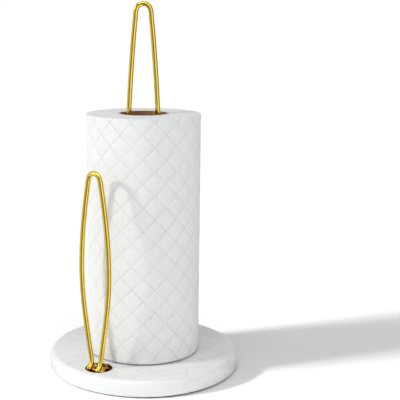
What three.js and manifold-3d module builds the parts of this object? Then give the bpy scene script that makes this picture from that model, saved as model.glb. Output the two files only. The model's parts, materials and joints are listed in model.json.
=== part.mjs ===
// A counter-top paper towel holder: a round marble base, a tall leaf-shaped wire
// loop that carries the roll, and a shorter leaf-shaped wire arm that stands beside
// the roll on a sprung hinge sunk into the base. Millimetres, +Z up, origin at the
// centre of the resting face.
import * as THREE from 'three';
import { mergeVertices } from 'three/addons/utils/BufferGeometryUtils.js';
import Module from 'manifold-3d';

const wasm = await Module();
wasm.setup();

// ---- driving dimensions ----
const GAP = 0.3; // air kept between neighbouring pieces

const BASE_RADIUS = 93.5;
const BASE_TOP = 16.7;
const BASE_TOP_FLAT = 88; // radius of the flat top, inside the rounded shoulder
const SHOULDER_START = 8.5; // height where the side begins to round over
const BASE_EDGE = 2.5; // rounding of the lower edge
const PAD_RADIUS = 89.5;
const PAD_THICKNESS = 1.2;
const PAD_HOLE = 4.4; // room in the pad for the hinge screw's head
const BASE_BOTTOM = PAD_THICKNESS + GAP;

const WIRE_RADIUS = 2.4; // 3/16 inch rod
const BEND_RADIUS = 6.8; // top bend of both loops, to the wire's centre
const LOOP_FOOT = 5.4; // half the spread of the legs at their feet
const LOOP_SHOULDER = 6; // and where their straight taper would meet the top
const POST_TOP = 355;
const POST_BELLY = 9.45; // how far the legs bow out beyond a straight taper
const POST_FULLNESS = 0.85; // below 1 keeps the upper half of the leaf fuller
const ARM_TOP = 203.8;
const ARM_BELLY = 10.7;
const ARM_FULLNESS = 1;

const FOOT_RADIUS = 30;
const FOOT_BOTTOM = BASE_TOP + GAP;
const FOOT_TOP = 18;
const SPIGOT_RADIUS = 9.6;
const SPIGOT_BOTTOM = 8.9;
const SOCKET_BOTTOM = 12.8;
const COUNTERBORE_RADIUS = 13.6;
const COUNTERBORE_TOP = 8.4;
const BOLT_RADIUS = 2.5; // M5
const BOLT_HEAD_ACROSS_CORNERS = 9.2;
const BOLT_HEAD_BOTTOM = 1.9;
const BOLT_HEAD_TOP = 5.4;
const BOLT_TIP = 12;
const LOCK_WASHER_RADIUS = 4.6;
const WASHER_RADIUS = 12.5;
const WASHER_BOTTOM = 7;

const ROLL_BOTTOM = FOOT_TOP + GAP;
const ROLL_TOP = 250.6;
const ROLL_RADIUS = 55;
const CORE_BORE = 22.65;
const CORE_WALL = 1.5;
const ROLL_EDGE = 0.8;

const HINGE_AZIMUTH = -128; // degrees from +X, seen from above
const HINGE_REACH = 72.2; // from the roll's axis to the pivot pin
const PIN_HEIGHT = 13.6;
const PIN_RADIUS = 1.6;
const PIN_HEAD_RADIUS = 2.6;
const PIN_HEAD_THICKNESS = 0.5;
const PIN_END = 13.2;
const CLIP_RADIUS = 3.3;
const CLIP_THICKNESS = 0.6;
const EYE_RADIUS = WIRE_RADIUS + PIN_RADIUS + GAP; // wire eye round the pin, to its centre
const POCKET_ALONG = 2.9; // pocket centre from the arm's middle, along the pin
const POCKET_INWARD = 0.5; // and towards the roll
const POCKET_RADIUS = 12.85;
const POCKET_FLOOR = 4.3;
const CUP_RADIUS = 12.6;
const CUP_WALL = 0.4;
const CUP_FLOOR = 0.6;
const BLOCK_BASE_TOP = 6.5;
const BLOCK_HALF_WIDTH = 2.6;
const BLOCK_HALF_DEPTH = 3.6;
const SCREW_RADIUS = 1.5; // M3
const SCREW_TOP = 10.6;
const SCREW_HEAD_RADIUS = 3.5;
const SPRING_WIRE = 0.8;
const SPRING_RADIUS = 4.8;
const SPRING_START = 8.95;
const SPRING_PITCH = 1.75;
const SPRING_TURNS = 2;
const SPRING_HOOK = 19.9; // height of the tail that pulls on the arm's leg

// ---- materials ----
const material = (color, roughness, metalness) =>
  new THREE.MeshStandardMaterial({ color, roughness, metalness });
const marble = () => material('#e9eaeb', 0.35, 0);
const brass = () => material('#c9a13c', 0.28, 1);
const steel = () => material('#b8babd', 0.35, 1);
const springSteel = () => material('#c0a050', 0.3, 1);
const foam = () => material('#3c3d3f', 0.9, 0);
const cardboard = () => material('#9a7350', 0.9, 0);
const paper = () => material('#f2f3f3', 0.95, 0);

// ---- solids ----
function solidOf(geometry) {
  const bare = new THREE.BufferGeometry();
  bare.setAttribute('position', geometry.getAttribute('position').clone());
  if (geometry.index) bare.setIndex(geometry.index.clone());
  const merged = mergeVertices(bare, 1e-4);
  return new wasm.Manifold(new wasm.Mesh({
    numProp: 3,
    vertProperties: new Float32Array(merged.getAttribute('position').array),
    triVerts: new Uint32Array(merged.index.array),
  }));
}

function geometryOf(solid) {
  const mesh = solid.getMesh();
  const geometry = new THREE.BufferGeometry();
  geometry.setAttribute('position', new THREE.BufferAttribute(mesh.vertProperties, 3));
  geometry.setIndex(new THREE.BufferAttribute(mesh.triVerts, 1));
  geometry.computeVertexNormals();
  return geometry;
}

// A turned shape about +Z. The profile is a list of [radius, height] pairs, listed
// anticlockwise as seen with the axis on the left.
function turned(profile, segments = 48) {
  const points = profile.map(([radius, height]) => new THREE.Vector2(radius, height));
  return new THREE.LatheGeometry(points, segments).rotateX(Math.PI / 2);
}

function disc(radius, bottom, top, segments = 48) {
  return turned([[0, bottom], [radius, bottom], [radius, top], [0, top]], segments);
}

function ring(inner, outer, bottom, top, segments = 48) {
  const profile = [[inner, bottom], [outer, bottom], [outer, top], [inner, top], [inner, bottom]];
  return turned(profile, segments);
}

// Points along a quarter ellipse, from the upright side to the level face.
function shoulder(centreRadius, centreHeight, across, up, steps) {
  const points = [];
  for (let i = 0; i <= steps; i += 1) {
    const angle = (Math.PI / 2) * (i / steps);
    points.push([centreRadius + across * Math.cos(angle), centreHeight + up * Math.sin(angle)]);
  }
  return points;
}

// Round wire along a path. Steps fall evenly between the path's own points, so tight
// bends, which have more points, also get more steps.
class WirePath extends THREE.CatmullRomCurve3 {
  getPointAt(u, target) {
    return this.getPoint(u, target);
  }

  getTangentAt(u, target) {
    return this.getTangent(u, target);
  }
}

function wire(points, radius, sides, stepsPerPoint) {
  const section = new THREE.Shape().absarc(0, 0, radius, 0, Math.PI * 2);
  return new THREE.ExtrudeGeometry(section, {
    extrudePath: new WirePath(points, false, 'centripetal'),
    steps: (points.length - 1) * stepsPerPoint,
    curveSegments: sides / 2,
    bevelEnabled: false,
  });
}

// Half the spread of a loop's legs at a share of its height. A sine bows the legs out
// from a straight taper, and eases them towards parallel near the foot.
function leafHalfWidth(share, belly, fullness) {
  const easing = share < 0.5 ? 1.3 : fullness;
  const taper = LOOP_FOOT + (LOOP_SHOULDER - LOOP_FOOT) * share;
  return taper + belly * Math.sin(Math.PI * share) ** easing;
}

// The left half of a leaf-shaped loop, from its foot up to the middle of the top bend.
function leafHalf(bottom, top, belly, fullness) {
  const apex = top - WIRE_RADIUS;
  const height = apex - bottom;
  const bendStart = 1 - (2 * BEND_RADIUS) / height;
  const legSteps = 8;
  const points = [];
  for (let i = 0; i <= legSteps; i += 1) {
    const share = (i / legSteps) * bendStart;
    const across = leafHalfWidth(share, belly, fullness);
    points.push(new THREE.Vector3(-across, 0, bottom + height * share));
  }
  for (const degrees of [20, 45, 70, 90]) {
    const angle = THREE.MathUtils.degToRad(degrees);
    const across = BEND_RADIUS * Math.cos(angle);
    const drop = BEND_RADIUS * (1 - Math.sin(angle));
    points.push(new THREE.Vector3(-across, 0, apex - drop));
  }
  return points;
}

// A half and its mirror image make one path from foot to foot.
function mirrored(half) {
  const back = half.slice(0, -1).reverse();
  return [...half, ...back.map((p) => new THREE.Vector3(-p.x, p.y, p.z))];
}

function named(name, geometry, finish) {
  const mesh = new THREE.Mesh(geometry, finish);
  mesh.name = name;
  return mesh;
}

// ---- hinge frame: x along the pivot pin, y towards the roll, z up ----
const hinge = new THREE.Group();
const azimuth = THREE.MathUtils.degToRad(HINGE_AZIMUTH);
hinge.position.set(HINGE_REACH * Math.cos(azimuth), HINGE_REACH * Math.sin(azimuth), 0);
hinge.rotation.z = azimuth + Math.PI / 2;
hinge.updateMatrixWorld();

// Puts a geometry that is centred on the pocket, or on the hinge, into the base's frame.
function atHinge(geometry, along = 0, inward = 0) {
  return geometry.translate(along, inward, 0).applyMatrix4(hinge.matrixWorld);
}

// ---- base ----
function marbleBase() {
  const across = BASE_RADIUS - BASE_TOP_FLAT;
  const up = BASE_TOP - SHOULDER_START;
  const profile = [
    [SPIGOT_RADIUS + GAP, COUNTERBORE_TOP],
    [COUNTERBORE_RADIUS, COUNTERBORE_TOP],
    [COUNTERBORE_RADIUS, BASE_BOTTOM],
    [BASE_RADIUS - BASE_EDGE, BASE_BOTTOM],
    [BASE_RADIUS - BASE_EDGE * 0.3, BASE_BOTTOM + BASE_EDGE * 0.3],
    [BASE_RADIUS, BASE_BOTTOM + BASE_EDGE],
    ...shoulder(BASE_TOP_FLAT, SHOULDER_START, across, up, 7),
    [SPIGOT_RADIUS + GAP, BASE_TOP],
    [SPIGOT_RADIUS + GAP, COUNTERBORE_TOP],
  ];
  const slab = solidOf(turned(profile, 96));
  const pocketDisc = disc(POCKET_RADIUS, POCKET_FLOOR, BASE_TOP + 5);
  const pocket = solidOf(atHinge(pocketDisc, POCKET_ALONG, POCKET_INWARD));
  const screwHole = solidOf(atHinge(disc(SCREW_RADIUS + GAP, 0, POCKET_FLOOR + 1, 16)));
  return geometryOf(slab.subtract(pocket).subtract(screwHole));
}

function footPad() {
  const pad = solidOf(disc(PAD_RADIUS, 0, PAD_THICKNESS, 96));
  const headHole = solidOf(atHinge(disc(PAD_HOLE, -1, PAD_THICKNESS + 1, 24)));
  return geometryOf(pad.subtract(headHole));
}

// ---- post ----
function postLoop() {
  const half = leafHalf(FOOT_BOTTOM, POST_TOP, POST_BELLY, POST_FULLNESS);
  const end = new THREE.Vector3(-LOOP_FOOT, 0, SOCKET_BOTTOM + GAP);
  return wire(mirrored([end, ...half]), WIRE_RADIUS, 12, 2);
}

function postFoot() {
  const soften = 0.3;
  const body = solidOf(turned([
    [0, SPIGOT_BOTTOM],
    [SPIGOT_RADIUS, SPIGOT_BOTTOM],
    [SPIGOT_RADIUS, FOOT_BOTTOM],
    [FOOT_RADIUS, FOOT_BOTTOM],
    [FOOT_RADIUS, FOOT_TOP - soften],
    [FOOT_RADIUS - soften, FOOT_TOP],
    [0, FOOT_TOP],
  ], 64));
  const bore = solidOf(disc(BOLT_RADIUS + GAP, 0, BOLT_TIP + GAP, 24));
  const socket = disc(WIRE_RADIUS + GAP, SOCKET_BOTTOM, FOOT_TOP + 5, 24);
  const left = solidOf(socket.clone().translate(-LOOP_FOOT, 0, 0));
  const right = solidOf(socket.clone().translate(LOOP_FOOT, 0, 0));
  return geometryOf(body.subtract(bore).subtract(left).subtract(right));
}

function postBolt() {
  const head = solidOf(disc(BOLT_HEAD_ACROSS_CORNERS / 2, BOLT_HEAD_BOTTOM, BOLT_HEAD_TOP, 6));
  const shank = solidOf(disc(BOLT_RADIUS, BOLT_HEAD_TOP - 1, BOLT_TIP, 24));
  return geometryOf(head.add(shank));
}

function postLockWasher() {
  const bottom = BOLT_HEAD_TOP + GAP;
  const band = solidOf(ring(BOLT_RADIUS + GAP, LOCK_WASHER_RADIUS, bottom, bottom + 1, 32));
  const split = new THREE.BoxGeometry(3, 0.7, 4).rotateX(0.35);
  split.translate((BOLT_RADIUS + LOCK_WASHER_RADIUS) / 2, 0, bottom + 0.5);
  return geometryOf(band.subtract(solidOf(split)));
}

function postWasher() {
  return ring(BOLT_RADIUS + GAP, WASHER_RADIUS, WASHER_BOTTOM, COUNTERBORE_TOP - GAP, 40);
}

// ---- hinge ----
function hingeCup() {
  const floor = POCKET_FLOOR + GAP;
  const inner = CUP_RADIUS - CUP_WALL;
  const shell = solidOf(turned([
    [0, floor],
    [CUP_RADIUS, floor],
    [CUP_RADIUS, BASE_TOP - 0.1],
    [inner, BASE_TOP - 0.1],
    [inner, floor + CUP_FLOOR],
    [0, floor + CUP_FLOOR],
  ], 48).translate(POCKET_ALONG, POCKET_INWARD, 0));
  const hole = solidOf(disc(SCREW_RADIUS + GAP, 0, floor + 2, 16));
  return geometryOf(shell.subtract(hole));
}

// A round foot with an upright tongue, which fits between the arm's two eyes.
function hingeBlock() {
  const footBottom = POCKET_FLOOR + CUP_FLOOR + 2 * GAP;
  const footRadius = CUP_RADIUS - CUP_WALL - GAP;
  const foot = solidOf(
    disc(footRadius, footBottom, BLOCK_BASE_TOP, 40).translate(POCKET_ALONG, POCKET_INWARD, 0),
  );
  const tongueHeight = PIN_HEIGHT - footBottom - 0.2;
  const tongue = solidOf(
    new THREE.BoxGeometry(2 * BLOCK_HALF_WIDTH, 2 * BLOCK_HALF_DEPTH, tongueHeight)
      .translate(0, 0, footBottom + 0.2 + tongueHeight / 2),
  );
  const round = solidOf(alongPin(disc(BLOCK_HALF_DEPTH, -BLOCK_HALF_WIDTH, BLOCK_HALF_WIDTH, 24)));
  const pinHole = solidOf(alongPin(disc(PIN_RADIUS + GAP, -20, 20, 20)));
  const screwHole = solidOf(disc(SCREW_RADIUS + GAP, 0, SCREW_TOP + GAP, 16));
  return geometryOf(foot.add(tongue).add(round).subtract(pinHole).subtract(screwHole));
}

// Lays a shape turned about +Z along the pivot pin's axis.
function alongPin(geometry) {
  return geometry.rotateY(Math.PI / 2).translate(0, 0, PIN_HEIGHT);
}

function hingeScrew() {
  const head = solidOf(disc(SCREW_HEAD_RADIUS, 0.25, BASE_BOTTOM - 0.25, 24));
  const shank = solidOf(disc(SCREW_RADIUS, 0.6, SCREW_TOP, 16));
  return geometryOf(head.add(shank));
}

function pivotPin() {
  const eyeSide = LOOP_FOOT + WIRE_RADIUS;
  const headFace = -eyeSide - GAP;
  const soften = 0.5;
  return alongPin(turned([
    [0, headFace - PIN_HEAD_THICKNESS],
    [PIN_HEAD_RADIUS - soften, headFace - PIN_HEAD_THICKNESS],
    [PIN_HEAD_RADIUS, headFace],
    [PIN_RADIUS, headFace],
    [PIN_RADIUS, PIN_END - soften],
    [PIN_RADIUS - soften, PIN_END],
    [0, PIN_END],
  ], 24));
}

function pinClip() {
  const start = LOOP_FOOT + WIRE_RADIUS + GAP;
  const band = solidOf(ring(PIN_RADIUS + GAP, CLIP_RADIUS, start, start + CLIP_THICKNESS, 24));
  const mouth = new THREE.BoxGeometry(4, 1.8, 3).translate(3, 0, start);
  return alongPin(geometryOf(band.subtract(solidOf(mouth))));
}

// Two coils round the pin beyond the right eye. The upper tail hooks behind the
// arm's right leg, and the lower tail bears on the block's foot.
function torsionSpring() {
  const legBack = WIRE_RADIUS + SPRING_WIRE + GAP;
  const points = [
    new THREE.Vector3(LOOP_FOOT - 1, legBack, SPRING_HOOK),
    new THREE.Vector3(LOOP_FOOT + 1, legBack, SPRING_HOOK),
    new THREE.Vector3(SPRING_START - 0.7, legBack + 0.4, SPRING_HOOK - 0.1),
    new THREE.Vector3(SPRING_START, legBack + 0.9, SPRING_HOOK - 1),
    new THREE.Vector3(SPRING_START, SPRING_RADIUS, PIN_HEIGHT + 2.4),
  ];
  const stepsPerTurn = 12;
  const coilSteps = (SPRING_TURNS + 0.25) * stepsPerTurn;
  const coilEnd = SPRING_START + SPRING_PITCH * SPRING_TURNS;
  for (let i = 0; i <= coilSteps; i += 1) {
    const turn = i / stepsPerTurn;
    const angle = turn * Math.PI * 2;
    const along = Math.min(SPRING_START + SPRING_PITCH * turn, coilEnd);
    const inward = SPRING_RADIUS * Math.cos(angle);
    const height = PIN_HEIGHT - SPRING_RADIUS * Math.sin(angle);
    points.push(new THREE.Vector3(along, inward, height));
  }
  points.push(new THREE.Vector3(coilEnd, -2.6, PIN_HEIGHT - SPRING_RADIUS - 0.3));
  points.push(new THREE.Vector3(coilEnd, -4.6, PIN_HEIGHT - SPRING_RADIUS - 0.8));
  return wire(points, SPRING_WIRE, 8, 1);
}

// Each leg of the arm jogs forward into an eye, which passes under the pin and ends
// behind it, a little above the pin's centre.
function armLoop() {
  const eyeStart = 150;
  const eyeEnd = 405;
  const eyeSteps = 9;
  const half = [];
  for (let i = 0; i <= eyeSteps; i += 1) {
    const angle = THREE.MathUtils.degToRad(eyeStart + ((eyeEnd - eyeStart) * i) / eyeSteps);
    const inward = -EYE_RADIUS * Math.cos(angle);
    half.push(new THREE.Vector3(-LOOP_FOOT, inward, PIN_HEIGHT + EYE_RADIUS * Math.sin(angle)));
  }
  half.push(new THREE.Vector3(-LOOP_FOOT, -1.4, PIN_HEIGHT + 5));
  half.push(new THREE.Vector3(-LOOP_FOOT, -0.3, PIN_HEIGHT + 7));
  half.push(new THREE.Vector3(-LOOP_FOOT - 0.3, 0, PIN_HEIGHT + 9.4));
  const legs = leafHalf(BASE_TOP, ARM_TOP, ARM_BELLY, ARM_FULLNESS).slice(1);
  return wire(mirrored([...half, ...legs]), WIRE_RADIUS, 12, 2);
}

// ---- roll ----
function rollCore() {
  return ring(CORE_BORE, CORE_BORE + CORE_WALL, ROLL_BOTTOM, ROLL_TOP, 64);
}

function paperRoll() {
  const inner = CORE_BORE + CORE_WALL + GAP;
  return turned([
    [inner, ROLL_BOTTOM],
    [ROLL_RADIUS - ROLL_EDGE, ROLL_BOTTOM],
    [ROLL_RADIUS, ROLL_BOTTOM + ROLL_EDGE],
    [ROLL_RADIUS, ROLL_TOP - ROLL_EDGE],
    [ROLL_RADIUS - ROLL_EDGE, ROLL_TOP],
    [inner, ROLL_TOP],
    [inner, ROLL_BOTTOM],
  ], 80);
}

// ---- assembly ----
const holder = new THREE.Group();
holder.add(named('marble_base', marbleBase(), marble()));
holder.add(named('foot_pad', footPad(), foam()));
holder.add(named('post_loop', postLoop(), brass()));
holder.add(named('post_foot', postFoot(), brass()));
holder.add(named('post_bolt', postBolt(), steel()));
holder.add(named('post_lock_washer', postLockWasher(), steel()));
holder.add(named('post_washer', postWasher(), steel()));
holder.add(named('roll_core', rollCore(), cardboard()));
holder.add(named('paper_roll', paperRoll(), paper()));

hinge.add(named('hinge_cup', hingeCup(), brass()));
hinge.add(named('hinge_block', hingeBlock(), brass()));
hinge.add(named('hinge_screw', hingeScrew(), steel()));
hinge.add(named('pivot_pin', pivotPin(), brass()));
hinge.add(named('pin_clip', pinClip(), steel()));
hinge.add(named('torsion_spring', torsionSpring(), springSteel()));
hinge.add(named('arm_loop', armLoop(), brass()));
holder.add(hinge);

export default holder;
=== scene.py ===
# %% [markdown]
# Paper towel holder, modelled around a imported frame. The frame brings every hard part
# at its real size and in its real place, split into bodies that move. This lesson gives
# the visible surfaces their finished shape: round wire instead of twelve-sided wire, a
# quilted roll instead of a plain drum, polished stone instead of a grey disc.

# %% Load the frame and note its box
import math
import random

import bpy
import numpy as np
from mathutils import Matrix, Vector
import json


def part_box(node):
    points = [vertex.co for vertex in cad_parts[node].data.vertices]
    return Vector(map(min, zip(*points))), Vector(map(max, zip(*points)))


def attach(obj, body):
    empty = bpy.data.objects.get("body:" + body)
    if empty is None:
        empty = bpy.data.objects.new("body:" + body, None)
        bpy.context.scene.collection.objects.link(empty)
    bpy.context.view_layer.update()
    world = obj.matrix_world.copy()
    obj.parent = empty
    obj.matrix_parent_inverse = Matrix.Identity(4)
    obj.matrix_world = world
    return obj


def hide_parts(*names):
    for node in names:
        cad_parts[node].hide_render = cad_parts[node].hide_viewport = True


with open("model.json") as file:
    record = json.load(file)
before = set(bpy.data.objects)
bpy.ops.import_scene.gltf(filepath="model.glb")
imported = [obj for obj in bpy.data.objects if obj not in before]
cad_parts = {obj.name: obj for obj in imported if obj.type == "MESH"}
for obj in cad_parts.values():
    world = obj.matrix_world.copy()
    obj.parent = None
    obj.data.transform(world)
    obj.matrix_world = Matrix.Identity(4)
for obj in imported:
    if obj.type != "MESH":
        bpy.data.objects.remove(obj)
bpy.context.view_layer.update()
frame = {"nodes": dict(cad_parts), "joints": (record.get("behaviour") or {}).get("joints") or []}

# %% [markdown]
# Lengths are easier to read in millimetres, so one short name turns them into metres.
# The hinge has its own small frame: x runs along the pivot pin, y points to the roll.
# A point given in that frame is turned into the holder's frame by one helper.

# %% Sizes that everything else is worked out from
MM = 0.001
joint = {j["name"]: j for j in frame["joints"]}
pivot = Vector(joint["arm_hinge"]["pos_m"])
pin_axis = Vector(joint["arm_hinge"]["axis"]).normalized()
inward = Vector((-pin_axis.y, pin_axis.x, 0))
base_low, base_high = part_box("marble_base")
roll_low, roll_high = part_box("paper_roll")
core_low, core_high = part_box("roll_core")
post_low, post_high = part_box("post_loop")
arm_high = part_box("arm_loop")[1]
BASE_R = base_high.x
BASE_TOP = base_high.z
ROLL_R = roll_high.x
CORE_R = core_high.x
WIRE_R = (post_high.y - post_low.y) / 2
GAP = 0.3 * MM


def at_hinge(along, toward_roll, height):
    """A point of the hinge's frame, with height above the counter, in the holder's frame."""
    foot = Vector((pivot.x, pivot.y, 0))
    return foot + pin_axis * along + inward * toward_roll + Vector((0, 0, height))


print("wire radius (mm):", round(WIRE_R / MM, 2), " roll radius (mm):", round(ROLL_R / MM, 2))

# %% [markdown]
# The camera stands in front and a little above, about 0.86 m from the roll's axis, and
# looks down by eleven degrees. A long lens keeps the loops upright. A sideways shift of
# the lens puts the holder left of the middle without turning the camera.

# %% Camera
CAMERA_PLACE = (0, -0.858, 0.3353)
CAMERA_LOOKS_DOWN = 11.164
LENS = 80.93
FILM_WIDTH = 36
LENS_SHIFT = 0.1415
bpy.ops.object.camera_add(
    location=CAMERA_PLACE, rotation=(math.radians(90 - CAMERA_LOOKS_DOWN), 0, 0)
)
camera = bpy.context.object
camera.name = "camera"
camera.data.lens = LENS
camera.data.sensor_width = FILM_WIDTH
camera.data.shift_x = LENS_SHIFT
camera.data.dof.use_dof = False
bpy.context.scene.camera = camera
print("camera at", tuple(camera.location))

# %% [markdown]
# Operators act on whatever is selected, and loading the frame leaves its parts
# selected. So every piece starts with nothing selected. Most pieces here are round, so
# the main helper turns a solid from a line of corners, as a lathe would.

# %% Modelling helpers
def clear_selection():
    """Leaves edit mode and deselects every object."""
    if bpy.context.object and bpy.context.object.mode != "OBJECT":
        bpy.ops.object.mode_set(mode="OBJECT")
    bpy.ops.object.select_all(action="DESELECT")


def focus(piece):
    """Makes one object the only selected and the active one."""
    clear_selection()
    piece.select_set(True)
    bpy.context.view_layer.objects.active = piece


def apply_place(piece):
    """Moves an object's location, rotation and scale into its mesh."""
    focus(piece)
    bpy.ops.object.transform_apply(location=True, rotation=True, scale=True)


def use_modifier(piece, kind, **settings):
    """Adds a modifier with these settings and applies it at once."""
    focus(piece)
    modifier = piece.modifiers.new(kind.lower(), kind)
    for key, value in settings.items():
        setattr(modifier, key, value)
    bpy.ops.object.modifier_apply(modifier=modifier.name)


def combine(piece, operation, *tools):
    """Joins tool shapes to a piece or cuts them out of it, and removes them."""
    for tool in tools:
        use_modifier(piece, "BOOLEAN", object=tool, operation=operation, solver="EXACT")
        bpy.data.objects.remove(tool)


def drum(radius, low, high):
    """The profile of a plain cylinder between two heights."""
    return [(0, low), (radius, low), (radius, high), (0, high)]


def smooth(piece, degrees=35):
    """Smooth shading, with a hard line where faces meet at more than this angle."""
    focus(piece)
    bpy.ops.object.shade_smooth_by_angle(angle=math.radians(degrees))


def turned(name, profile, centre, steps):
    """A solid turned about an upright axis through centre, from (radius, height) corners."""
    clear_selection()
    bpy.ops.mesh.primitive_plane_add(size=MM, location=centre)
    piece = bpy.context.object
    piece.name = name
    apply_place(piece)
    bpy.ops.object.mode_set(mode="EDIT")
    bpy.ops.mesh.merge(type="CENTER")
    bpy.ops.object.mode_set(mode="OBJECT")
    piece.data.vertices[0].co = Vector((centre[0] + profile[0][0], centre[1], profile[0][1]))
    bpy.ops.object.mode_set(mode="EDIT")
    bpy.ops.mesh.select_mode(type="VERT")
    bpy.ops.mesh.select_all(action="SELECT")
    for (r0, z0), (r1, z1) in zip(profile, profile[1:]):
        bpy.ops.mesh.extrude_region_move(TRANSFORM_OT_translate={"value": (r1 - r0, 0, z1 - z0)})
    bpy.ops.mesh.select_all(action="SELECT")
    bpy.ops.mesh.spin(
        steps=steps, angle=2 * math.pi, center=(centre[0], centre[1], 0), axis=(0, 0, 1)
    )
    bpy.ops.mesh.select_all(action="SELECT")
    bpy.ops.mesh.remove_doubles(threshold=0.002 * MM)
    bpy.ops.mesh.normals_make_consistent(inside=False)
    bpy.ops.object.mode_set(mode="OBJECT")
    return piece


def finish_piece(piece, finish, body, slot, *stands_for):
    """Gives a piece its material and its body, and hides the parts it stands for. The slot argument
    is not used.
    """
    piece.data.materials.clear()
    piece.data.materials.append(finish)
    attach(piece, body)
    if stands_for:
        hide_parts(*stands_for)
    clear_selection()
    faces = len(piece.data.polygons)
    print(f"{piece.name}: {faces} faces, rides on {body}")


# %% [markdown]
# Materials are small node trees. Each finish here reads object coordinates, so that a
# pattern has one real size in millimetres and stays put when a piece moves. These
# helpers add a node, join sockets, and build the three things every finish needs: a
# noise, a colour ramp and a bump.

# %% Material helpers
def new_finish(name, **sockets):
    """A Principled material with the given socket values. Returns it with its parts."""
    finish = bpy.data.materials.new(name)
    finish.use_nodes = True
    tree = finish.node_tree
    shader = tree.nodes["Principled BSDF"]
    for key, value in sockets.items():
        shader.inputs[key.replace("_", " ")].default_value = value
    coords = tree.nodes.new("ShaderNodeTexCoord").outputs["Object"]
    return finish, tree, shader, coords


def scaled(tree, coords, scale, rotation=(0, 0, 0)):
    """Coordinates multiplied by a scale, or by three, after a turn."""
    node = tree.nodes.new("ShaderNodeMapping")
    node.inputs["Scale"].default_value = scale if hasattr(scale, "__len__") else (scale,) * 3
    node.inputs["Rotation"].default_value = rotation
    tree.links.new(coords, node.inputs["Vector"])
    return node.outputs["Vector"]


def noise(tree, coords, scale, detail=3.0, roughness=0.55, distortion=0.0):
    """A noise of the given scale, in cycles per metre. Returns its value from 0 to 1."""
    node = tree.nodes.new("ShaderNodeTexNoise")
    node.inputs["Scale"].default_value = scale
    node.inputs["Detail"].default_value = detail
    node.inputs["Roughness"].default_value = roughness
    node.inputs["Distortion"].default_value = distortion
    tree.links.new(coords, node.inputs["Vector"])
    return node.outputs["Fac"]


def ramp(tree, value, stops):
    """A colour ramp over a value, from (position, colour or grey) stops."""
    node = tree.nodes.new("ShaderNodeValToRGB")
    elements = node.color_ramp.elements
    while len(elements) < len(stops):
        elements.new(0.5)
    for element, (position, colour) in zip(elements, stops):
        element.position = position
        grey = (colour,) * 3 if not hasattr(colour, "__len__") else colour
        element.color = (*grey, 1)
    tree.links.new(value, node.inputs["Fac"])
    return node.outputs["Color"]


def calc(tree, operation, a, b=None):
    """One step of arithmetic on values or numbers."""
    node = tree.nodes.new("ShaderNodeMath")
    node.operation = operation
    for socket, item in zip(node.inputs, (a, b)):
        if item is None:
            continue
        if isinstance(item, (int, float)):
            socket.default_value = item
        else:
            tree.links.new(item, socket)
    return node.outputs["Value"]


def blend_colours(tree, amount, first, second):
    """Two colours mixed by an amount, which may be a number or a socket."""
    node = tree.nodes.new("ShaderNodeMix")
    node.data_type = "RGBA"
    sockets = (node.inputs["Factor"], node.inputs[6], node.inputs[7])
    for socket, item in zip(sockets, (amount, first, second)):
        if isinstance(item, (int, float)):
            socket.default_value = item
        elif hasattr(item, "__len__"):
            socket.default_value = (*item, 1)
        else:
            tree.links.new(item, socket)
    return node.outputs[2]


def bump(tree, shader, height, distance, strength=1.0):
    """Raises the surface by a height from 0 to 1, times a distance in metres."""
    node = tree.nodes.new("ShaderNodeBump")
    node.inputs["Distance"].default_value = distance
    node.inputs["Strength"].default_value = strength
    tree.links.new(height, node.inputs["Height"])
    tree.links.new(node.outputs["Normal"], shader.inputs["Normal"])


# %% [markdown]
# The base is a slab of white marble, polished, with faint grey veins. Veins form where
# the stone cracked and filled again, so they are thin, branch rarely and fade in and
# out. A strongly distorted noise gives such lines where it crosses its middle value; a
# second, larger noise decides where they are allowed to show.

# %% Marble
STONE_GREY, STONE_WHITE = (0.815, 0.82, 0.83), (0.85, 0.855, 0.86)
VEIN_GREY, THIN_VEIN_GREY = (0.68, 0.695, 0.71), (0.76, 0.77, 0.78)


def make_marble():
    finish, tree, shader, coords = new_finish(
        "white_marble", Roughness=0.3, Coat_Weight=0.25, Coat_Roughness=0.12
    )
    turned_coords = scaled(tree, coords, 1.0, (0.3, 0.15, 0.6))
    long_veins = noise(tree, turned_coords, 9.0, 5.0, 0.55, 1.6)
    near_middle = calc(tree, "ABSOLUTE", calc(tree, "SUBTRACT", long_veins, 0.5))
    vein = ramp(tree, near_middle, [(0.0, 0.8), (0.018, 0.5), (0.06, 0.0)])
    where = ramp(tree, noise(tree, coords, 14.0, 2.0), [(0.5, 0.0), (0.68, 1.0)])
    thin = noise(tree, scaled(tree, coords, (1.0, 1.6, 2.2), (0, 0.2, -0.5)), 30.0, 4.0, 0.5, 1.2)
    thin_middle = calc(tree, "ABSOLUTE", calc(tree, "SUBTRACT", thin, 0.5))
    thin_vein = ramp(tree, thin_middle, [(0.0, 0.22), (0.016, 0.0)])
    patches = noise(tree, coords, 22.0, 6.0, 0.6)
    cloud = ramp(tree, patches, [(0.35, STONE_GREY), (0.7, STONE_WHITE)])
    long_share = calc(tree, "MULTIPLY", vein, where)
    thin_share = calc(tree, "MULTIPLY", thin_vein, where)
    with_vein = blend_colours(tree, long_share, cloud, VEIN_GREY)
    with_both = blend_colours(tree, thin_share, with_vein, THIN_VEIN_GREY)
    tree.links.new(with_both, shader.inputs["Base Color"])
    gloss = ramp(tree, noise(tree, coords, 60.0, 3.0), [(0.3, 0.24), (0.7, 0.34)])
    tree.links.new(gloss, shader.inputs["Roughness"])
    bump(tree, shader, noise(tree, coords, 90.0, 3.0), 0.02 * MM, 0.4)
    return finish


marble = make_marble()
print("finish:", marble.name)

# %% [markdown]
# The slab is turned on a wheel: a flat underside with a small chamfer, an upright side,
# and a soft shoulder that runs into the flat top. A profile spun about the axis gives
# exactly that. The recess for the hinge and the hole for the post are then cut with a
# cutter, as a core drill would, and the recess gets a small polished chamfer.

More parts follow.
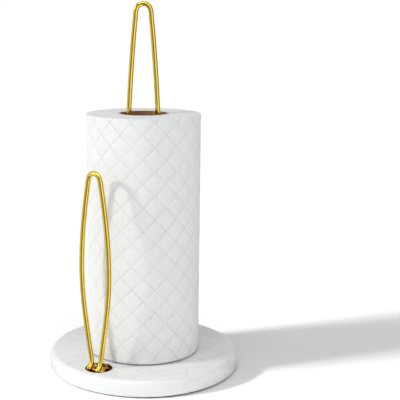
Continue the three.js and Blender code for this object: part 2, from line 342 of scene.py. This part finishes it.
# %% Marble slab
WASHER_BORE_R = 13.6 * MM
WASHER_BORE_TOP = 8.4 * MM
SPIGOT_BORE_R = 9.9 * MM
SHOULDER_LOW = 8.5 * MM
TOP_FLAT_R = 88 * MM
POCKET_R = 12.85 * MM
POCKET_FLOOR = 4.3 * MM
POCKET_CENTRE = at_hinge(2.9 * MM, 0.5 * MM, 0)
SCREW_CLEAR = 1.8 * MM


def slab_profile():
    """From the middle of the underside, round the edge, to the middle of the top."""
    edge = 2.5 * MM
    low = base_low.z
    corners = [(0, low), (60 * MM, low), (BASE_R - edge, low)]
    corners += [(BASE_R - edge * 0.7, low + 0.05 * edge), (BASE_R - edge * 0.3, low + edge * 0.3)]
    corners += [(BASE_R - edge * 0.05, low + edge * 0.7), (BASE_R, low + edge)]
    steps = 16
    for i in range(steps + 1):
        angle = math.pi / 2 * i / steps
        across = (BASE_R - TOP_FLAT_R) * math.cos(angle)
        up = (BASE_TOP - SHOULDER_LOW) * math.sin(angle)
        corners.append((TOP_FLAT_R + across, SHOULDER_LOW + up))
    corners += [(TOP_FLAT_R - 1.5 * MM, BASE_TOP), (40 * MM, BASE_TOP), (0, BASE_TOP)]
    return corners


slab = turned("marble_slab", slab_profile(), (0, 0, 0), 192)
recess_profile = [(0, POCKET_FLOOR), (POCKET_R, POCKET_FLOOR), (POCKET_R, BASE_TOP - 0.35 * MM)]
recess_profile += [(POCKET_R + 0.35 * MM, BASE_TOP), (POCKET_R + 0.6 * MM, BASE_TOP + 4 * MM)]
recess_profile += [(0, BASE_TOP + 4 * MM)]
recess = turned("recess_cutter", recess_profile, POCKET_CENTRE, 72)
bore_profile = [(0, 0), (WASHER_BORE_R, 0), (WASHER_BORE_R, WASHER_BORE_TOP)]
bore_profile += [(SPIGOT_BORE_R, WASHER_BORE_TOP), (SPIGOT_BORE_R, 20 * MM), (0, 20 * MM)]
bore = turned("bore_cutter", bore_profile, (0, 0, 0), 64)
screw_hole = turned("screw_cutter", drum(SCREW_CLEAR, 0, 6 * MM), at_hinge(0, 0, 0), 24)
combine(slab, "DIFFERENCE", recess, bore, screw_hole)
smooth(slab, 30)
finish_piece(slab, marble, "base", "marble", "marble_base")

# %% [markdown]
# The wire is steel rod plated in satin brass. A satin plate isn't a mirror: fine drawing
# lines run along the rod, and the lacquer is a little uneven. Noise that is stretched
# along the height gives those lines, and it drives both roughness and a faint bump.

# %% Brass finishes
def make_brass(name, light, dark, roughness):
    """Satin brass between two tones of gold."""
    finish, tree, shader, coords = new_finish(name, Metallic=1.0, Roughness=roughness)
    lines = noise(tree, scaled(tree, coords, (1.0, 1.0, 0.03)), 2600.0, 2.0, 0.6)
    patches = noise(tree, coords, 120.0, 3.0, 0.6)
    fine = calc(tree, "MULTIPLY", lines, 0.4)
    broad = calc(tree, "MULTIPLY", patches, 0.6)
    tone = ramp(tree, calc(tree, "ADD", fine, broad), [(0.35, dark), (0.65, light)])
    tree.links.new(tone, shader.inputs["Base Color"])
    gloss = ramp(tree, lines, [(0.3, roughness * 0.8), (0.7, roughness * 1.25)])
    tree.links.new(gloss, shader.inputs["Roughness"])
    bump(tree, shader, lines, 0.006 * MM, 0.5)
    return finish


brass = make_brass("satin_brass", (0.97, 0.70, 0.115), (0.86, 0.60, 0.085), 0.15)
# The cup and block get a dark brown brass: painted shade of the deep recess they sit in.
recess_shade_brass = make_brass("brass_painted_with_recess_shade", (0.30, 0.13, 0.022), (0.15, 0.06, 0.012), 0.35)
pin_brass = make_brass("pin_brass", (0.66, 0.38, 0.06), (0.48, 0.25, 0.04), 0.25)
print("finishes:", brass.name, recess_shade_brass.name)

# %% [markdown]
# Both loops are the same leaf: two legs that stand close together at the foot, bow out
# to a belly at half height and close in a round bend at the top. The spread follows a
# sine raised to a power, one below the belly and another above it. A curve through a few points with
# automatic handles is the bender's centre line, and a round bevel makes it wire.

# %% Leaf-shaped path
BEND_R = 6.8 * MM
LOOP_FOOT = 5.4 * MM
LOOP_SHOULDER = 6 * MM
BEND_ANGLES = (20, 45, 70, 90)
LEG_STEPS = 8
LOWER_FULLNESS = 1.3


def leaf_half(bottom, top, belly, fullness):
    """(half spread, height) points of one leg, from the foot to the middle of the bend."""
    apex = top - WIRE_R
    height = apex - bottom
    bend_start = 1 - 2 * BEND_R / height
    points = []
    for i in range(LEG_STEPS + 1):
        share = i / LEG_STEPS * bend_start
        easing = LOWER_FULLNESS if share < 0.5 else fullness
        taper = LOOP_FOOT + (LOOP_SHOULDER - LOOP_FOOT) * share
        spread = taper + belly * math.sin(math.pi * share) ** easing
        points.append((spread, bottom + height * share))
    for degrees in BEND_ANGLES:
        angle = math.radians(degrees)
        points.append((BEND_R * math.cos(angle), apex - BEND_R * (1 - math.sin(angle))))
    return points


EASED_LENGTH = 0.15
EASED_RADIUS = 0.85


def wire(name, points, radius, steps=10, sides=8):
    """Round wire along a smooth path through points, with slightly eased ends."""
    clear_selection()
    bpy.ops.curve.primitive_bezier_curve_add()
    piece = bpy.context.object
    piece.name = name
    piece.location = (0, 0, 0)
    curve = piece.data
    curve.splines.clear()
    spline = curve.splines.new("BEZIER")
    first = points[0] + (points[1] - points[0]).normalized() * radius * EASED_LENGTH
    last = points[-1] + (points[-2] - points[-1]).normalized() * radius * EASED_LENGTH
    path = [points[0], first, *points[1:-1], last, points[-1]]
    spline.bezier_points.add(len(path) - 1)
    for knot, point in zip(spline.bezier_points, path):
        knot.co = point
        knot.handle_left_type = "AUTO"
        knot.handle_right_type = "AUTO"
    spline.bezier_points[0].radius = EASED_RADIUS
    spline.bezier_points[-1].radius = EASED_RADIUS
    curve.dimensions = "3D"
    curve.bevel_depth = radius
    curve.bevel_resolution = sides
    curve.resolution_u = steps
    curve.use_fill_caps = True
    bpy.ops.object.convert(target="MESH")
    piece = bpy.context.object
    bpy.ops.object.mode_set(mode="EDIT")
    bpy.ops.mesh.select_all(action="SELECT")
    bpy.ops.mesh.remove_doubles(threshold=0.001 * MM)
    bpy.ops.mesh.normals_make_consistent(inside=False)
    bpy.ops.object.mode_set(mode="OBJECT")
    smooth(piece, 50)
    return piece


# %% [markdown]
# The post's loop stands across the view, on the roll's axis. Its ends drop into sockets
# in the foot, so the path starts straight and then follows the leaf up and over.

# %% Post loop
POST_BELLY = 9.45 * MM
POST_FULLNESS = 0.85
post_half = [(LOOP_FOOT, post_low.z)]
post_half += leaf_half(BASE_TOP + GAP, post_high.z, POST_BELLY, POST_FULLNESS)
left_leg = [Vector((-x, 0, z)) for x, z in post_half]
right_leg = [Vector((x, 0, z)) for x, z in reversed(post_half[:-1])]
post = wire("post_wire", left_leg + right_leg, WIRE_R)
finish_piece(post, brass, "base", "brass", "post_loop")

# %% [markdown]
# The arm is the same wire, shorter. Each leg jogs forward just above the base and turns
# into an eye round the pivot pin: down the front, under the pin, and up behind it.

# %% Arm loop
ARM_BELLY = 10.7 * MM
ARM_FULLNESS = 1
EYE_R = 4.3 * MM
EYE_START = 150
EYE_END = 405
EYE_STEPS = 9


def arm_half():
    """(half spread, toward the roll, height) points from the eye's end to the top."""
    points = []
    for i in range(EYE_STEPS + 1):
        angle = math.radians(EYE_START + (EYE_END - EYE_START) * i / EYE_STEPS)
        points.append((LOOP_FOOT, -EYE_R * math.cos(angle), pivot.z + EYE_R * math.sin(angle)))
    points.append((LOOP_FOOT, -1.4 * MM, pivot.z + 5 * MM))
    points.append((LOOP_FOOT, -0.3 * MM, pivot.z + 7 * MM))
    points.append((LOOP_FOOT + 0.3 * MM, 0, pivot.z + 9.4 * MM))
    points += [(x, 0, z) for x, z in leaf_half(BASE_TOP, arm_high.z, ARM_BELLY, ARM_FULLNESS)[1:]]
    return points


half = arm_half()
left_side = [at_hinge(-x, y, z) for x, y, z in half]
right_side = [at_hinge(x, y, z) for x, y, z in reversed(half[:-1])]
arm = wire("arm_wire", left_side + right_side, WIRE_R)
finish_piece(arm, brass, "arm", "brass", "arm_loop")

# %% [markdown]
# Under the arm sits the hinge: a thin cup pressed into the recess, a block screwed to
# its floor, and a steel pin through the block and both eyes. The cup is spun like a
# drawn ferrule, with a rounded lip. Its hole for the screw is cut from below.

# %% Hinge cup
CUP_R = 12.6 * MM
CUP_WALL = 0.4 * MM
cup_low, cup_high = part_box("hinge_cup")
lip = cup_high.z
cup_profile = [(0, cup_low.z), (CUP_R - 0.5 * MM, cup_low.z), (CUP_R, cup_low.z + 0.5 * MM)]
cup_profile += [(CUP_R, lip - 0.15 * MM), (CUP_R - 0.08 * MM, lip - 0.03 * MM)]
cup_profile += [(CUP_R - 0.2 * MM, lip), (CUP_R - 0.32 * MM, lip - 0.03 * MM)]
cup_inner = CUP_R - CUP_WALL
cup_floor = cup_low.z + 0.6 * MM
cup_profile += [(cup_inner, lip - 0.15 * MM), (cup_inner, cup_floor + 0.5 * MM)]
cup_profile += [(cup_inner - 0.5 * MM, cup_floor), (0, cup_floor)]
cup = turned("hinge_cup_drawn", cup_profile, POCKET_CENTRE, 72)
combine(cup, "DIFFERENCE", turned("cup_hole", drum(SCREW_CLEAR, 0, 6 * MM), at_hinge(0, 0, 0), 24))
smooth(cup, 40)
finish_piece(cup, recess_shade_brass, "base", "brass_inner", "hinge_cup")

# %% [markdown]
# The block is a round foot with a tongue between the eyes. The tongue is a slab whose
# top is a half cylinder around the pin, so it is a union of three simple shapes. The
# pin's hole is drilled across it and the screw's hole up from below.

# %% Hinge block
block_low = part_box("hinge_block")[0]
PIN_R = 1.6 * MM
TONGUE_HALF = 2.6 * MM
TONGUE_DEPTH = 3.6 * MM
FOOT_TOP = 6.5 * MM
PIN_TURN = math.atan2(pin_axis.y, pin_axis.x)


def lay_along_pin(piece):
    """Turns a shape made about the world's upright axis so that it lies along the pin."""
    piece.rotation_euler = (0, math.pi / 2, PIN_TURN)
    piece.location = pivot
    apply_place(piece)


foot_r = cup_inner - GAP
foot_profile = [(0, block_low.z), (foot_r - 0.7 * MM, block_low.z), (foot_r, block_low.z + 0.7 * MM)]
foot_profile += [(foot_r, FOOT_TOP - 0.15 * MM), (foot_r - 0.15 * MM, FOOT_TOP), (0, FOOT_TOP)]
block = turned("hinge_block_cast", foot_profile, POCKET_CENTRE, 64)
clear_selection()
bpy.ops.mesh.primitive_cube_add(size=1)
tongue = bpy.context.object
tongue_low = block_low.z + 0.3 * MM
tongue.scale = (2 * TONGUE_HALF, 2 * TONGUE_DEPTH, pivot.z - tongue_low)
tongue.rotation_euler.z = PIN_TURN
tongue.location = at_hinge(0, 0, (pivot.z + tongue_low) / 2)
apply_place(tongue)
knuckle = turned("knuckle", drum(TONGUE_DEPTH, -TONGUE_HALF, TONGUE_HALF), (0, 0, 0), 48)
lay_along_pin(knuckle)
pin_hole = turned("pin_hole", drum(PIN_R + 0.25 * MM, -20 * MM, 20 * MM), (0, 0, 0), 32)
lay_along_pin(pin_hole)
screw_bore = turned("screw_bore", drum(SCREW_CLEAR, 0, 10.9 * MM), at_hinge(0, 0, 0), 24)
combine(block, "UNION", tongue, knuckle)
combine(block, "DIFFERENCE", pin_hole, screw_bore)
smooth(block, 30)
finish_piece(block, recess_shade_brass, "base", "brass_inner", "hinge_block")

# %% [markdown]
# The pin has a domed head on the left and a chamfered tip on the right. It is turned
# upright and then laid down along the hinge.

# %% Pivot pin
HEAD_FACE = -(LOOP_FOOT + WIRE_R + GAP)
PIN_END = 13.2 * MM
HEAD_R = 2.55 * MM
pin_profile = [(0, HEAD_FACE - 0.5 * MM), (1.3 * MM, HEAD_FACE - 0.46 * MM)]
pin_profile += [(2.2 * MM, HEAD_FACE - 0.3 * MM), (HEAD_R, HEAD_FACE - 0.1 * MM)]
pin_profile += [(HEAD_R, HEAD_FACE), (PIN_R, HEAD_FACE), (PIN_R, PIN_END - 0.5 * MM)]
pin_profile += [(PIN_R - 0.4 * MM, PIN_END - 0.05 * MM), (PIN_R - 0.6 * MM, PIN_END), (0, PIN_END)]
pin = turned("pivot_pin_turned", pin_profile, (0, 0, 0), 40)
lay_along_pin(pin)
smooth(pin, 35)
finish_piece(pin, pin_brass, "base", "brass_inner", "pivot_pin")

# %% [markdown]
# The torsion spring winds two turns round the pin. Its upper tail hooks behind the
# arm's right leg and its lower tail bears on the block. Spring wire is round, so it is
# the same kind of swept path as the big loops, only finer.

# %% Torsion spring
SPRING_WIRE = 0.8 * MM
COIL_R = 4.8 * MM
COIL_START = 8.95 * MM
COIL_PITCH = 1.75 * MM
COIL_TURNS = 2
STEPS_PER_TURN = 12
HOOK_HEIGHT = 19.9 * MM
leg_back = WIRE_R + SPRING_WIRE + GAP
path = [(LOOP_FOOT - 1 * MM, leg_back, HOOK_HEIGHT), (LOOP_FOOT + 1 * MM, leg_back, HOOK_HEIGHT)]
path.append((COIL_START - 0.7 * MM, leg_back + 0.4 * MM, HOOK_HEIGHT - 0.1 * MM))
path.append((COIL_START, leg_back + 0.9 * MM, HOOK_HEIGHT - 1 * MM))
path.append((COIL_START, COIL_R, pivot.z + 2.4 * MM))
coil_end = COIL_START + COIL_PITCH * COIL_TURNS
for i in range(int((COIL_TURNS + 0.25) * STEPS_PER_TURN) + 1):
    angle = 2 * math.pi * i / STEPS_PER_TURN
    along = min(COIL_START + COIL_PITCH * i / STEPS_PER_TURN, coil_end)
    path.append((along, COIL_R * math.cos(angle), pivot.z - COIL_R * math.sin(angle)))
path.append((coil_end, -2.6 * MM, pivot.z - COIL_R - 0.3 * MM))
path.append((coil_end, -4.6 * MM, pivot.z - COIL_R - 0.8 * MM))
spring = wire("torsion_spring_wound", [at_hinge(*p) for p in path], SPRING_WIRE, 6, 4)
finish_piece(spring, pin_brass, "base", "spring", "torsion_spring")

# %% [markdown]
# The foot of the post is a turned plate with a spigot. The wire's two ends stand in
# sockets in its face. It is hidden while a roll is on the post and shows when the roll
# is lifted, so it gets a proper rounded rim.

# %% Post foot
plate_low, plate_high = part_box("post_foot")
PLATE_R = plate_high.x
SPIGOT_R = 9.6 * MM
SOCKET_BOTTOM = 12.8 * MM
SOCKET_PLAY = 0.15 * MM
BOLT_BORE_R = 2.8 * MM
rim = 0.4 * MM
plate_under = BASE_TOP + GAP
plate_profile = [(0, plate_low.z), (SPIGOT_R, plate_low.z)]
plate_profile += [(SPIGOT_R, plate_under), (PLATE_R, plate_under)]
for degrees in (0, 22, 45, 68, 90):
    angle = math.radians(degrees)
    across = PLATE_R - rim * (1 - math.cos(angle))
    plate_profile.append((across, plate_high.z - rim * (1 - math.sin(angle))))
plate_profile.append((0, plate_high.z))
plate = turned("post_plate", plate_profile, (0, 0, 0), 96)
combine(plate, "DIFFERENCE", turned("bolt_bore", drum(BOLT_BORE_R, 0, 12.3 * MM), (0, 0, 0), 32))
for side in (-LOOP_FOOT, LOOP_FOOT):
    socket = drum(WIRE_R + SOCKET_PLAY, SOCKET_BOTTOM, 30 * MM)
    combine(plate, "DIFFERENCE", turned("socket", socket, (side, 0, 0), 32))
smooth(plate, 35)
finish_piece(plate, brass, "base", "brass", "post_foot")

# %% [markdown]
# The remaining hardware is hidden: a bolt with two washers under the marble, the
# hinge's screw and clip, and the foam pad. The frame's own shapes are right for these,
# so they only get finishes. Steel shows fine turning marks, and foam a closed skin.

# %% Hardware and pad
def make_steel():
    finish, tree, shader, coords = new_finish("zinc_steel", Metallic=1.0, Roughness=0.35)
    marks = noise(tree, scaled(tree, coords, (1.0, 1.0, 6.0)), 900.0, 3.0, 0.6)
    tone = ramp(tree, marks, [(0.3, (0.52, 0.53, 0.54)), (0.7, (0.64, 0.64, 0.63))])
    tree.links.new(tone, shader.inputs["Base Color"])
    gloss = ramp(tree, marks, [(0.3, 0.28), (0.7, 0.42)])
    tree.links.new(gloss, shader.inputs["Roughness"])
    bump(tree, shader, marks, 0.02 * MM, 0.4)
    return finish


def make_foam():
    finish, tree, shader, coords = new_finish("foam_pad", Roughness=0.9)
    cells = noise(tree, coords, 1200.0, 3.0, 0.6)
    tree.links.new(ramp(tree, cells, [(0.3, 0.035), (0.7, 0.06)]), shader.inputs["Base Color"])
    bump(tree, shader, cells, 0.1 * MM, 0.5)
    return finish


steel = make_steel()
foam = make_foam()
hardware = ("post_bolt", "post_lock_washer", "post_washer", "hinge_screw", "pin_clip")
for node_name, finish in [(n, steel) for n in hardware] + [("foot_pad", foam)]:
    node = frame["nodes"][node_name]
    node.data.materials.clear()
    node.data.materials.append(finish)
    print(node_name, "gets", finish.name)

# %% [markdown]
# Paper towel is soft, matt and not quite white. Under a lens it is a mat of fibres with
# a fine crepe, so the material has two scales of bump. The quilting is pressed in by a
# steel roller: the mesh carries its depth, and the finish paints a thin grey line along
# each groove, which is painted shade, and dents the line a little with the bump. The
# line is broken up, as the roller's ridge is a row of small teeth.

# %% Paper finish
LATTICE_TURN = 0.5
LATTICE_RISE = 0.085
DIAMONDS_ROUND = 16
DIAMOND_HEIGHT = 22.25 * MM


def distance_to_line(tree, value):
    """How far a lattice coordinate is from the nearest whole number, from 0 to 0.5."""
    shifted = calc(tree, "FRACT", calc(tree, "ADD", value, 100.5))
    return calc(tree, "ABSOLUTE", calc(tree, "SUBTRACT", shifted, 0.5))


def pressed_lines(tree, coords):
    """Near 1 on the pressed lines of the lattice, where shade is painted, 0 away from them and on
    the roll's ends.
    """
    drift = calc(tree, "SUBTRACT", noise(tree, coords, 60.0, 1.0), 0.5)
    wander = calc(tree, "MULTIPLY", drift, 0.05)
    parts = tree.nodes.new("ShaderNodeSeparateXYZ")
    tree.links.new(coords, parts.inputs["Vector"])
    angle = calc(tree, "ARCTAN2", parts.outputs["Y"], parts.outputs["X"])
    across = calc(tree, "MULTIPLY", angle, DIAMONDS_ROUND / (2 * math.pi))
    across = calc(tree, "ADD", calc(tree, "SUBTRACT", across, LATTICE_TURN), wander)
    rows_up = calc(tree, "DIVIDE", parts.outputs["Z"], DIAMOND_HEIGHT)
    along = calc(tree, "SUBTRACT", rows_up, LATTICE_RISE)
    rising = distance_to_line(tree, calc(tree, "ADD", across, along))
    falling = distance_to_line(tree, calc(tree, "SUBTRACT", across, along))
    nearest = calc(tree, "MINIMUM", rising, falling)
    line = ramp(tree, nearest, [(0.0, 0.9), (0.02, 0.65), (0.05, 0.0)])
    x_squared = calc(tree, "MULTIPLY", parts.outputs["X"], parts.outputs["X"])
    y_squared = calc(tree, "MULTIPLY", parts.outputs["Y"], parts.outputs["Y"])
    radius = calc(tree, "SQRT", calc(tree, "ADD", x_squared, y_squared))
    on_side = calc(tree, "GREATER_THAN", radius, ROLL_R - 0.78 * MM)
    return calc(tree, "MULTIPLY", line, on_side)


def make_paper():
    finish, tree, shader, coords = new_finish("quilted_paper", Roughness=0.95)
    fibre = noise(tree, coords, 1500.0, 4.0, 0.7)
    crepe = noise(tree, scaled(tree, coords, (1.0, 1.0, 0.35)), 700.0, 3.0, 0.6)
    cloud = noise(tree, coords, 35.0, 4.0, 0.6)
    specks = noise(tree, coords, 330.0, 2.0)
    mottle = calc(
        tree, "ADD", calc(tree, "MULTIPLY", cloud, 0.4), calc(tree, "MULTIPLY", specks, 0.6)
    )
    tone = ramp(tree, mottle, [(0.35, (0.745, 0.755, 0.765)), (0.65, (0.81, 0.815, 0.82))])
    teeth = ramp(tree, noise(tree, coords, 420.0, 2.0, 0.6), [(0.35, 0.25), (0.6, 1.0)])
    groove_dent_and_shade = calc(tree, "MULTIPLY", pressed_lines(tree, coords), teeth)
    strength = ramp(tree, noise(tree, coords, 22.0, 2.0), [(0.35, 0.35), (0.65, 1.0)])
    groove_dent_and_shade = calc(tree, "MULTIPLY", groove_dent_and_shade, strength)
    # Painted shade: the groove lines are mixed towards grey, standing in for the shade inside the
    # pressed grooves.
    lined = blend_colours(tree, groove_dent_and_shade, tone, (0.58, 0.585, 0.58))
    tree.links.new(lined, shader.inputs["Base Color"])
    both = calc(tree, "ADD", calc(tree, "MULTIPLY", fibre, 0.5), calc(tree, "MULTIPLY", crepe, 0.5))
    puffs = calc(tree, "MULTIPLY", noise(tree, coords, 230.0, 2.0), 5.0)
    pressed = calc(tree, "SUBTRACT", calc(tree, "ADD", both, puffs), groove_dent_and_shade)
    bump(tree, shader, pressed, 0.12 * MM, 0.6)
    return finish


paper = make_paper()
print("finish:", paper.name)

# %% [markdown]
# The roll is a drum spun from one upright line. Its quilting is a lattice of diamonds,
# sixteen round the roll, so the pattern closes on itself. The mesh has twenty-two
# columns to a diamond and as many rows, so the pressed lines run corner to corner
# through the quads and stay straight. The ends show the wound layers as one spiral.

# %% Roll
COLUMNS_PER_DIAMOND = 22
ROLL_COLUMNS = DIAMONDS_ROUND * COLUMNS_PER_DIAMOND
ROW_STEP = DIAMOND_HEIGHT / COLUMNS_PER_DIAMOND
END_RINGS = 30
GROOVE_DEPTH = 0.3 * MM
PILLOW_DEPTH = 0.22 * MM
EDGE_ROUND = 0.8 * MM


def roll_profile():
    """From the core side of the lower end, out, up the side and back in at the top."""
    inner = CORE_R + GAP
    low, high = roll_low.z, roll_high.z
    corners = [(inner, low), (ROLL_R - EDGE_ROUND, low)]
    corners.append((ROLL_R - 0.25 * EDGE_ROUND, low + 0.25 * EDGE_ROUND))
    side_low, side_high = low + EDGE_ROUND, high - EDGE_ROUND
    first_row = math.floor((side_low / DIAMOND_HEIGHT - LATTICE_RISE) * COLUMNS_PER_DIAMOND) + 1
    height = LATTICE_RISE * DIAMOND_HEIGHT + first_row * ROW_STEP
    corners.append((ROLL_R, side_low))
    while height < side_high - 0.1 * ROW_STEP:
        corners.append((ROLL_R, height))
        height += ROW_STEP
    corners.append((ROLL_R, side_high))
    corners.append((ROLL_R - 0.25 * EDGE_ROUND, high - 0.25 * EDGE_ROUND))
    for i in range(END_RINGS + 1):
        corners.append((ROLL_R - EDGE_ROUND + (inner - ROLL_R + EDGE_ROUND) * i / END_RINGS, high))
    corners.append((inner, low))
    return corners


roll = turned("quilted_roll", roll_profile(), (0, 0, 0), ROLL_COLUMNS)
print("roll:", len(roll.data.polygons), "faces before quilting")

# %% [markdown]
# Quilting moves points by a formula. Each point has two lattice coordinates; the
# distance to the nearest pressed line sets how deep it lies, and the middle of each
# diamond stands proud like a small pillow. On the upper end, the height follows a
# seeded random layer number that grows with the turn, which gives the wound spiral.

# %% Quilting and wound ends
def quilt(piece):
    """Presses the diamond lattice into the side and the wound spiral into the top."""
    count = len(piece.data.vertices)
    co = np.empty(count * 3)
    piece.data.vertices.foreach_get("co", co)
    co = co.reshape(-1, 3)
    radius = np.hypot(co[:, 0], co[:, 1])
    turn = np.arctan2(co[:, 1], co[:, 0]) / (2 * math.pi)
    across = turn * DIAMONDS_ROUND - LATTICE_TURN
    along = co[:, 2] / DIAMOND_HEIGHT - LATTICE_RISE
    line_a = np.abs((across + along + 0.5) % 1 - 0.5)
    line_b = np.abs((across - along + 0.5) % 1 - 0.5)
    nearest = np.minimum(line_a, line_b)
    groove = np.exp(-((nearest / 0.05) ** 2))
    pillow = np.clip(np.sin(math.pi * line_a) * np.sin(math.pi * line_b), 0, 1) ** 0.5
    depth = GROOVE_DEPTH * groove + PILLOW_DEPTH * (1 - pillow)
    side = radius > ROLL_R - 0.05 * MM
    from_end = np.minimum(co[:, 2] - roll_low.z, roll_high.z - co[:, 2])
    fade = np.clip(from_end / (2.0 * MM), 0, 1)
    new_radius = np.where(side, radius - depth * fade, radius)
    co[:, 0] *= new_radius / np.maximum(radius, 1e-9)
    co[:, 1] *= new_radius / np.maximum(radius, 1e-9)
    layers = random.Random(7)
    heights = np.array([layers.uniform(-1, 0) for _ in range(END_RINGS + 4)])
    on_top = (co[:, 2] > roll_high.z - 0.01 * MM) & (radius < ROLL_R - 0.9 * EDGE_ROUND)
    ring = (ROLL_R - EDGE_ROUND - radius) / (ROLL_R - EDGE_ROUND - CORE_R - GAP) * END_RINGS
    layer = ring + (turn % 1)
    low = np.clip(np.floor(layer).astype(int), 0, END_RINGS + 2)
    share = np.clip(layer - low, 0, 1)
    wound = heights[low] * (1 - share) + heights[low + 1] * share
    co[:, 2] += np.where(on_top, wound * 0.25 * MM, 0)
    piece.data.vertices.foreach_set("co", co.ravel())
    piece.data.update()


quilt(roll)
smooth(roll, 60)
finish_piece(roll, paper, "sheets", "paper", "paper_roll")

# %% [markdown]
# The core is a plain tube of kraft board. The upper cut end is paler than the rest,
# because the knife tears the fibres open. Rows down the bore keep its quads short.

# %% Core
CORE_WALL = 1.5 * MM
CORE_ROWS = 60
BOARD_DARK, BOARD_LIGHT = (0.26, 0.13, 0.052), (0.38, 0.20, 0.085)
BOARD_FLECK, BOARD_CUT = (0.22, 0.11, 0.05), (0.66, 0.64, 0.61)


def make_board():
    finish, tree, shader, coords = new_finish("kraft_board", Roughness=0.85)
    fibre = noise(tree, scaled(tree, coords, (1, 1, 0.25)), 500.0, 5.0, 0.7)
    fleck = noise(tree, coords, 900.0, 2.0, 0.5)
    tone = ramp(tree, fibre, [(0.3, BOARD_DARK), (0.7, BOARD_LIGHT)])
    fleck_share = ramp(tree, fleck, [(0.62, 0.0), (0.72, 0.5)])
    flecked = blend_colours(tree, fleck_share, tone, BOARD_FLECK)
    parts = tree.nodes.new("ShaderNodeSeparateXYZ")
    tree.links.new(coords, parts.inputs["Vector"])
    cut_end = calc(tree, "GREATER_THAN", parts.outputs["Z"], core_high.z - 0.05 * MM)
    ended = blend_colours(tree, calc(tree, "MULTIPLY", cut_end, 0.85), flecked, BOARD_CUT)
    tree.links.new(ended, shader.inputs["Base Color"])
    bump(tree, shader, fibre, 0.1 * MM, 0.5)
    return finish


board = make_board()
core_in = CORE_R - CORE_WALL
core_length = core_high.z - core_low.z
core_profile = [(core_in, core_low.z), (CORE_R, core_low.z), (CORE_R, core_high.z)]
for i in range(CORE_ROWS + 1):
    core_profile.append((core_in, core_high.z - core_length * i / CORE_ROWS))
core = turned("cardboard_core", core_profile, (0, 0, 0), 96)
smooth(core, 40)
finish_piece(core, board, "roll", "cardboard", "roll_core")

# %% [markdown]
# The holder stands in a white room. The floor is a pale sheet that runs far back. One
# low lamp from the left throws the long soft shadow to the right. The floor has a lamp
# of its own with nearly the same direction, so that its shadow can be set apart from
# the shadows on the roll and the stone. A wide lamp overhead fills the tops. The floor
# is left out of reflections, so the wires show only the room.

# %% Floor and lamps
FLOOR_SIZE = 16
bpy.ops.mesh.primitive_plane_add(size=FLOOR_SIZE, location=(0, 0, 0))
floor = bpy.context.object
floor.name = "floor"
floor.visible_glossy = False
floor_finish, floor_tree, floor_shader, floor_coords = new_finish("pale_floor", Roughness=0.9)
grain = noise(floor_tree, floor_coords, 300.0, 3.0)
shade = ramp(floor_tree, grain, [(0.3, 0.79), (0.7, 0.81)])
floor_tree.links.new(shade, floor_shader.inputs["Base Color"])
floor.data.materials.append(floor_finish)


def downward(heading, fall):
    """The direction of light that travels along a heading and falls by an angle, in degrees."""
    heading, fall = math.radians(heading), math.radians(fall)
    level = math.cos(fall)
    return Vector((math.cos(heading) * level, math.sin(heading) * level, -math.sin(fall)))


only_floor = bpy.data.collections.new("only_floor")
only_floor.objects.link(floor)


def add_lamp(name, direction, energy, softness):
    """A far lamp whose light travels along a direction. Softness is its width in degrees."""
    bpy.ops.object.light_add(type="SUN", location=-2 * direction)
    lamp = bpy.context.object
    lamp.name = name
    lamp.data.energy = energy
    lamp.data.angle = math.radians(softness)
    lamp.rotation_euler = direction.to_track_quat("-Z", "Y").to_euler()
    return lamp


add_lamp("key_lamp", downward(14, 24), 1.22, 4)
floor_lamp = add_lamp("floor_lamp", downward(18, 23), 3.2, 6)
floor_lamp.light_linking.receiver_collection = only_floor
add_lamp("overhead_lamp", Vector((0.15, 0.4, -0.9)).normalized(), 0.95, 50)
print("lamps:", len(bpy.data.lights))

# %% [markdown]
# Polished wire shows the room, so the room needs something to show. The walls are bands
# of light and dark round the horizon, under a dim ceiling at the back. A share of the
# way round gives each band its place: 0 is the left, a quarter is the front, a half the
# right and three quarters the back. The bands give each wire its dark core line and its
# dark right edge. Seen straight on, the room is plain white.

# %% Room
world = bpy.data.worlds.new("studio")
bpy.context.scene.world = world
world.use_nodes = True
room = world.node_tree
direction = room.nodes.new("ShaderNodeTexCoord").outputs["Generated"]
parts = room.nodes.new("ShaderNodeSeparateXYZ")
room.links.new(direction, parts.inputs["Vector"])
heading = calc(room, "ARCTAN2", parts.outputs["Y"], parts.outputs["X"])
heading = calc(room, "ADD", calc(room, "DIVIDE", heading, 2 * math.pi), 0.5)
LEFT_STRIP = (0.42, 0.47, 0.46)
FRONT_LEFT, FRONT_RIGHT, RIGHT_GAP, BACK_RIGHT, BACK, BACK_LEFT = 0.14, 0.63, 0.08, 0.2, 0.6, 0.24
walls = ramp(room, heading, [
    (0.0, LEFT_STRIP), (0.06, LEFT_STRIP),
    (0.09, FRONT_LEFT), (0.275, FRONT_LEFT),
    (0.295, FRONT_RIGHT), (0.40, FRONT_RIGHT),
    (0.44, RIGHT_GAP), (0.52, RIGHT_GAP),
    (0.56, BACK_RIGHT), (0.70, BACK_RIGHT),
    (0.72, BACK), (0.79, BACK),
    (0.81, BACK_LEFT), (0.95, BACK_LEFT),
    (1.0, LEFT_STRIP),
])
back_and_up = calc(room, "ADD", parts.outputs["Z"], calc(room, "MULTIPLY", parts.outputs["Y"], 0.6))
overhead = ramp(room, back_and_up, [(0.66, 0.0), (0.80, 1.0)])
CEILING = (0.19, 0.19, 0.19)
PLAIN_WHITE = (0.51, 0.51, 0.51)
ROOM_STRENGTH = 2.0
background = room.nodes["Background"]
shell = blend_colours(room, overhead, walls, CEILING)
seen_directly = room.nodes.new("ShaderNodeLightPath").outputs["Is Camera Ray"]
seen = blend_colours(room, seen_directly, shell, PLAIN_WHITE)
room.links.new(seen, background.inputs["Color"])
background.inputs["Strength"].default_value = ROOM_STRENGTH
bpy.context.scene.view_settings.view_transform = "Standard"

# %% [markdown]
# The last cell only imports json.

# %% Import json
import json
